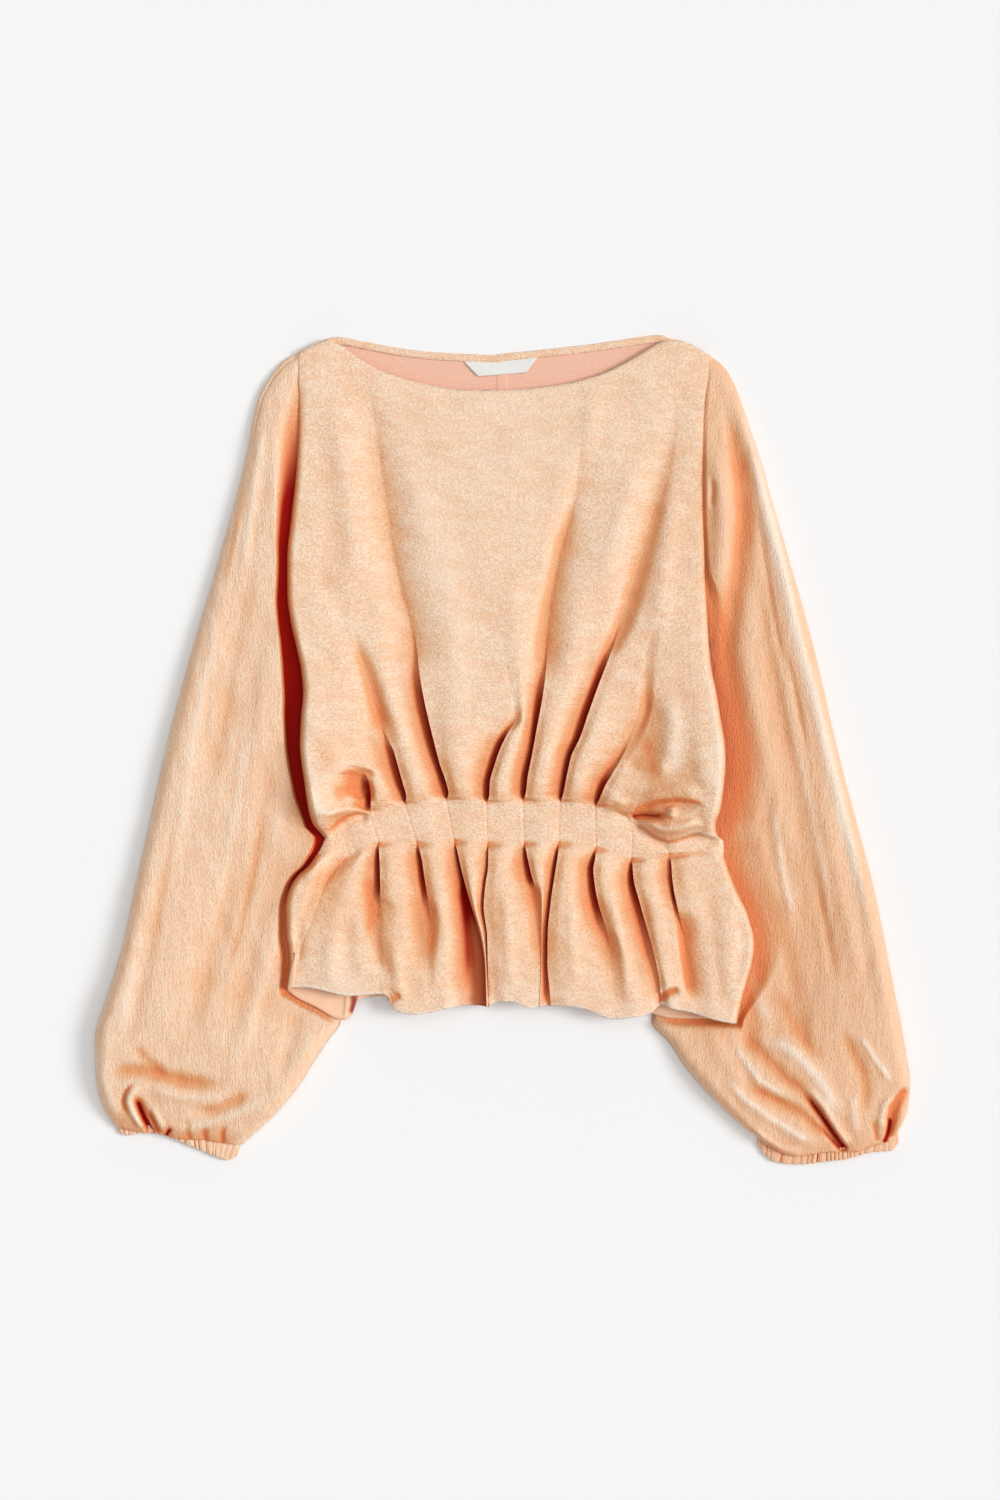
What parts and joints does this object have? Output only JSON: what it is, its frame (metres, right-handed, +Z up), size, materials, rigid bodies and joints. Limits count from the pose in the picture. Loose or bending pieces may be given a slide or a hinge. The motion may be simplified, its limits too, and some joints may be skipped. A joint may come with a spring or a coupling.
{
  "type": "peplum top",
  "caption": "Long-sleeved satin peplum top laid flat, with a boat neck, balloon sleeves in ruched cuffs and stitched waist tucks that release above and below.",
  "frame": {"origin": "bottom centre of the bounding box, on the surface the top lies on", "axes": "+Z up off the surface, +Y towards the neck, +X towards the sleeve at the picture's right"},
  "size_m": [0.7188, 0.7258, 0.0352],
  "materials": {
    "satin": "crinkled satin, peach",
    "satin_reverse": "matt reverse of the satin",
    "label_white": "blank woven label"
  },
  "bodies": {
    "root": {"back": "satin_reverse", "front": "satin", "sleeve_left": "satin", "sleeve_right": "satin", "cuff_left": "satin", "cuff_right": "satin", "neck_binding": "satin", "label": "label_white"}
  },
  "joints": []
}
